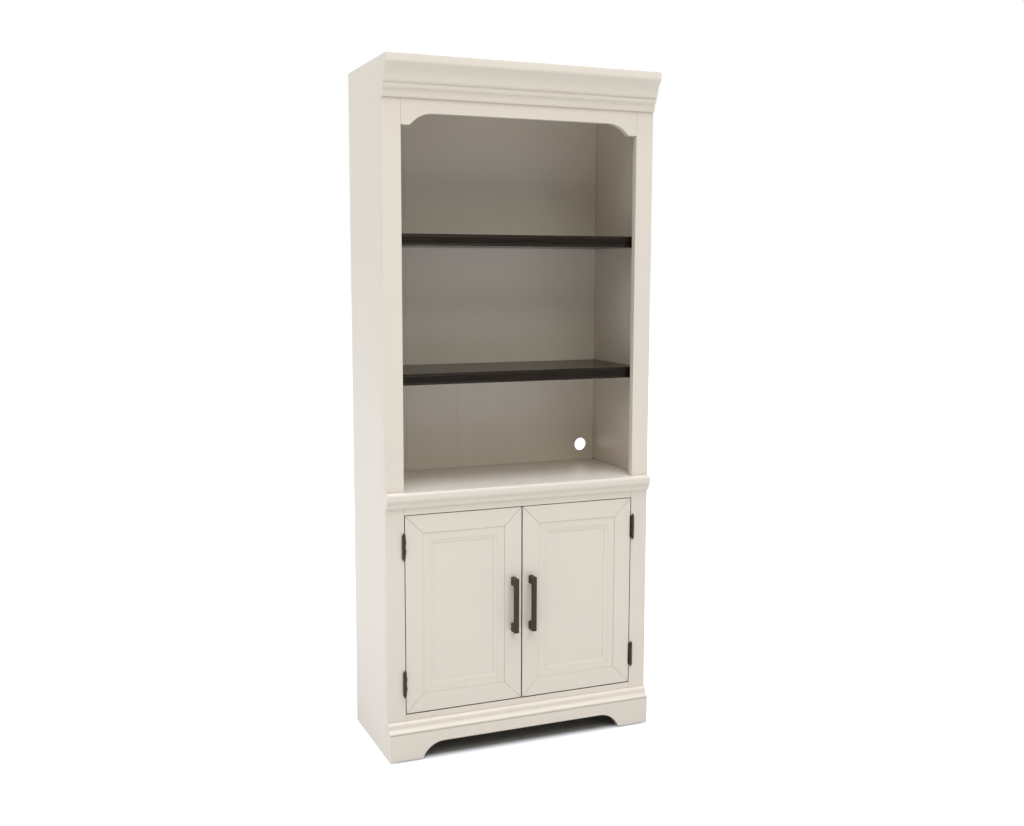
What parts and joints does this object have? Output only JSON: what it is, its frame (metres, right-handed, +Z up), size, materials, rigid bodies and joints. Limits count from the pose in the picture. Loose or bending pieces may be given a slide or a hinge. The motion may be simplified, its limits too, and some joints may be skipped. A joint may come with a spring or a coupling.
{
  "type": "bookcase",
  "caption": "Tall bookcase with an arched face frame, stepped mouldings, adjustable shelves and inset panelled cabinet doors on finial hinges with bar pulls, on an arched plinth.",
  "frame": {"origin": "on the floor, in the middle of the outer box's width and depth", "axes": "+Z up, +Y towards the wall behind, +X to the right as seen from the front"},
  "size_m": [0.8128, 0.376, 1.9304],
  "materials": {
    "painted_wood": "antique white paint, satin",
    "dark_wood": "espresso stain under a satin clear coat",
    "dark_metal": "dark bronze, satin",
    "steel": "zinc plated",
    "plastic": "moulded, matt"
  },
  "bodies": {
    "carcase": {"side_left": "painted_wood", "side_right": "painted_wood", "post_left": "painted_wood", "post_right": "painted_wood", "top_panel": "painted_wood", "deck_panel": "painted_wood", "floor_panel": "painted_wood", "upper_back": "painted_wood", "lower_back": "painted_wood", "arched_rail": "painted_wood", "waist_rail": "painted_wood", "bottom_rail": "painted_wood", "crown_moulding": "painted_wood", "waist_moulding": "painted_wood", "base_cap": "painted_wood", "base_board": "painted_wood", "glides": "plastic", "shelf_pins": "steel", "left_catch": "plastic", "left_post_hinge_screws": "dark_metal", "left_lower_hinge_frame_leaf": "dark_metal", "left_lower_hinge_pin": "dark_metal", "left_upper_hinge_frame_leaf": "dark_metal", "left_upper_hinge_pin": "dark_metal", "right_catch": "plastic", "right_post_hinge_screws": "dark_metal", "right_lower_hinge_frame_leaf": "dark_metal", "right_lower_hinge_pin": "dark_metal", "right_upper_hinge_frame_leaf": "dark_metal", "right_upper_hinge_pin": "dark_metal"},
    "left_door": {"left_door_hinge_stile": "painted_wood", "left_door_meeting_stile": "painted_wood", "left_door_top_rail": "painted_wood", "left_door_bottom_rail": "painted_wood", "left_door_panel": "painted_wood", "left_pull": "dark_metal", "left_pull_screws": "steel", "left_strike": "steel", "left_door_hinge_screws": "dark_metal", "left_lower_hinge_door_leaf": "dark_metal", "left_upper_hinge_door_leaf": "dark_metal"},
    "right_door": {"right_door_hinge_stile": "painted_wood", "right_door_meeting_stile": "painted_wood", "right_door_top_rail": "painted_wood", "right_door_bottom_rail": "painted_wood", "right_door_panel": "painted_wood", "right_pull": "dark_metal", "right_pull_screws": "steel", "right_strike": "steel", "right_door_hinge_screws": "dark_metal", "right_lower_hinge_door_leaf": "dark_metal", "right_upper_hinge_door_leaf": "dark_metal"},
    "shelf_upper": {"shelf_upper": "dark_wood"},
    "shelf_lower": {"shelf_lower": "dark_wood"},
    "cabinet_shelf": {"cabinet_shelf": "dark_wood"}
  },
  "joints": [
    {"name": "left_door_hinge", "type": "hinge", "parent": "carcase", "child": "left_door", "pos_m": [-0.3566, -0.1486, 0.41475], "axis": [0, 0, -1], "range_deg": [0, 180]},
    {"name": "right_door_hinge", "type": "hinge", "parent": "carcase", "child": "right_door", "pos_m": [0.3566, -0.1486, 0.41475], "axis": [0, 0, 1], "range_deg": [0, 180]},
    {"name": "shelf_upper_lift", "type": "slide", "parent": "carcase", "child": "shelf_upper", "axis": [0, 0, 1], "range_m": [0, 0.064]},
    {"name": "shelf_lower_lift", "type": "slide", "parent": "carcase", "child": "shelf_lower", "axis": [0, 0, 1], "range_m": [0, 0.096]},
    {"name": "cabinet_shelf_lift", "type": "slide", "parent": "carcase", "child": "cabinet_shelf", "axis": [0, 0, 1], "range_m": [0, 0.064]}
  ]
}
